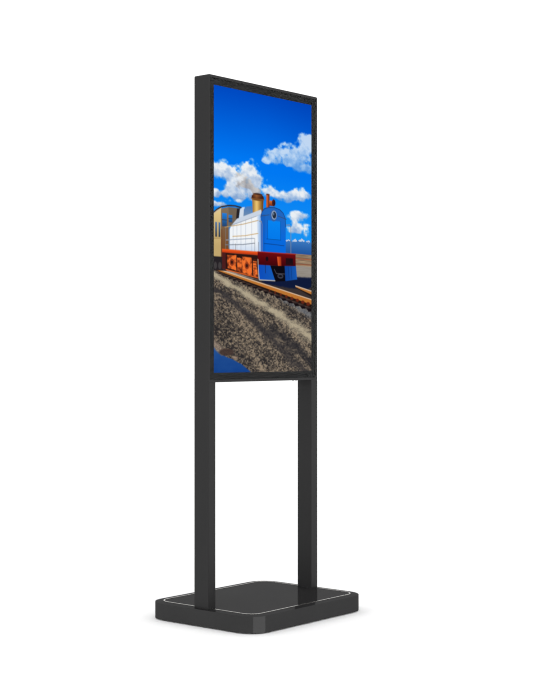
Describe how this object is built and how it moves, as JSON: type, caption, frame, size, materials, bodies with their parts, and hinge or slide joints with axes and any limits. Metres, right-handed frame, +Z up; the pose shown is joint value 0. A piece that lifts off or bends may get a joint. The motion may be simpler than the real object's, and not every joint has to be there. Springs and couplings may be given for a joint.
{
  "type": "touchscreen kiosk",
  "caption": "Floor-standing portrait touch display in a slim frame on twin posts and a rounded, weighted base with a bright inlay and a hinged rear service door.",
  "frame": {"origin": "on the floor, under the middle of the base, at the lowest face of the levelling feet", "axes": "+X along the display's width, towards its right edge as a visitor sees it; the glass faces -Y; +Z up"},
  "size_m": [0.62, 0.47, 1.8],
  "materials": {
    "charcoal_paint": "satin charcoal powder coat",
    "base_paint": "semi-gloss charcoal coat that mirrors the posts faintly",
    "polished_trim": "bright",
    "black_steel": "matt black primer",
    "zinc_steel": "zinc plated",
    "lock_chrome": "polished",
    "foot_plastic": "zinc plated stud and dark pad",
    "clear_glass": "toughened, optically clear",
    "black_ink": "printed border behind the glass",
    "lit_screen": "switched-on display",
    "panel_case": "backlight tray",
    "black_plastic": "fine texture",
    "brass_pins": "plain",
    "cable_jacket": "round lead",
    "supply_cage": "perforated cage",
    "fin_aluminium": "extruded fins",
    "circuit_board": "solder resist"
  },
  "bodies": {
    "stand": {"ballast": "black_steel", "base_cover": "base_paint", "base_plate": "black_steel", "base_top_plate": "base_paint", "button_board": "circuit_board", "corner_keys": "zinc_steel", "crossmember_lower": "black_steel", "crossmember_screws": "zinc_steel", "crossmember_upper": "black_steel", "electronics_plate": "zinc_steel", "fan_frame_left": "black_plastic", "fan_frame_right": "black_plastic", "flange_screws": "zinc_steel", "frame_bottom": "charcoal_paint", "frame_left": "charcoal_paint", "frame_right": "charcoal_paint", "frame_top": "charcoal_paint", "glass_border": "black_ink", "hinge_frame_leaves": "black_steel", "hinge_pins": "zinc_steel", "inlet_housing": "black_plastic", "inlet_pins": "brass_pins", "lcd_cell": "lit_screen", "lcd_chassis": "panel_case", "light_sensor": "black_plastic", "media_player": "black_plastic", "network_socket": "black_plastic", "player_heatsink": "fin_aluminium", "post_left": "charcoal_paint", "post_right": "charcoal_paint", "power_cable": "cable_jacket", "power_supply": "supply_cage", "rear_cover": "charcoal_paint", "rear_cover_screws": "zinc_steel", "speaker_left": "black_plastic", "speaker_right": "black_plastic", "touch_controller": "circuit_board", "touch_glass": "clear_glass", "trim_front": "polished_trim", "trim_rear": "polished_trim", "upright_left": "black_steel", "upright_right": "black_steel"},
    "door": {"service_door": "charcoal_paint", "hinge_door_leaves": "black_steel", "lock_body": "lock_chrome"},
    "lock": {"lock_plug": "lock_chrome"},
    "foot_front_left": {"foot_front_left": "foot_plastic"},
    "foot_front_right": {"foot_front_right": "foot_plastic"},
    "foot_rear_left": {"foot_rear_left": "foot_plastic"},
    "foot_rear_right": {"foot_rear_right": "foot_plastic"},
    "rocker": {"mains_rocker": "black_plastic"},
    "fuse_tray": {"fuse_drawer": "black_plastic"},
    "fan_left": {"fan_rotor_left": "black_plastic"},
    "fan_right": {"fan_rotor_right": "black_plastic"},
    "power_key": {"button_power": "black_plastic"},
    "volume_down_key": {"button_volume_down": "black_plastic"},
    "volume_up_key": {"button_volume_up": "black_plastic"}
  },
  "joints": [
    {"name": "door_hinge", "type": "hinge", "parent": "stand", "child": "door", "pos_m": [0.291, 0.034, 0.955], "axis": [0, 0, -1], "range_deg": [0, 110]},
    {"name": "lock_turn", "type": "hinge", "parent": "door", "child": "lock", "pos_m": [-0.262, 0.0305, 0.955], "axis": [0, 1, 0], "range_deg": [0, 90]},
    {"name": "rocker_tip", "type": "hinge", "parent": "stand", "child": "rocker", "pos_m": [0.214, 0.2275, 0.031], "axis": [1, 0, 0], "range_deg": [0, 18]},
    {"name": "fuse_tray_slide", "type": "slide", "parent": "stand", "child": "fuse_tray", "axis": [0, 1, 0], "range_m": [0, 0.014]},
    {"name": "fan_left_spin", "type": "hinge", "parent": "stand", "child": "fan_left", "pos_m": [-0.12, 0.021, 1.7], "axis": [0, 1, 0], "continuous": true},
    {"name": "fan_right_spin", "type": "hinge", "parent": "stand", "child": "fan_right", "pos_m": [0.12, 0.021, 1.7], "axis": [0, 1, 0], "continuous": true},
    {"name": "foot_front_left_height", "type": "slide", "parent": "stand", "child": "foot_front_left", "axis": [0, 0, -1], "range_m": [0, 0.012]},
    {"name": "foot_front_right_height", "type": "slide", "parent": "stand", "child": "foot_front_right", "axis": [0, 0, -1], "range_m": [0, 0.012]},
    {"name": "foot_rear_left_height", "type": "slide", "parent": "stand", "child": "foot_rear_left", "axis": [0, 0, -1], "range_m": [0, 0.012]},
    {"name": "foot_rear_right_height", "type": "slide", "parent": "stand", "child": "foot_rear_right", "axis": [0, 0, -1], "range_m": [0, 0.012]},
    {"name": "power_press", "type": "slide", "parent": "stand", "child": "power_key", "axis": [0, 0, 1], "range_m": [0, 0.0012], "stiffness_N_per_m": 400},
    {"name": "volume_down_press", "type": "slide", "parent": "stand", "child": "volume_down_key", "axis": [0, 0, 1], "range_m": [0, 0.0012], "stiffness_N_per_m": 400},
    {"name": "volume_up_press", "type": "slide", "parent": "stand", "child": "volume_up_key", "axis": [0, 0, 1], "range_m": [0, 0.0012], "stiffness_N_per_m": 400}
  ]
}
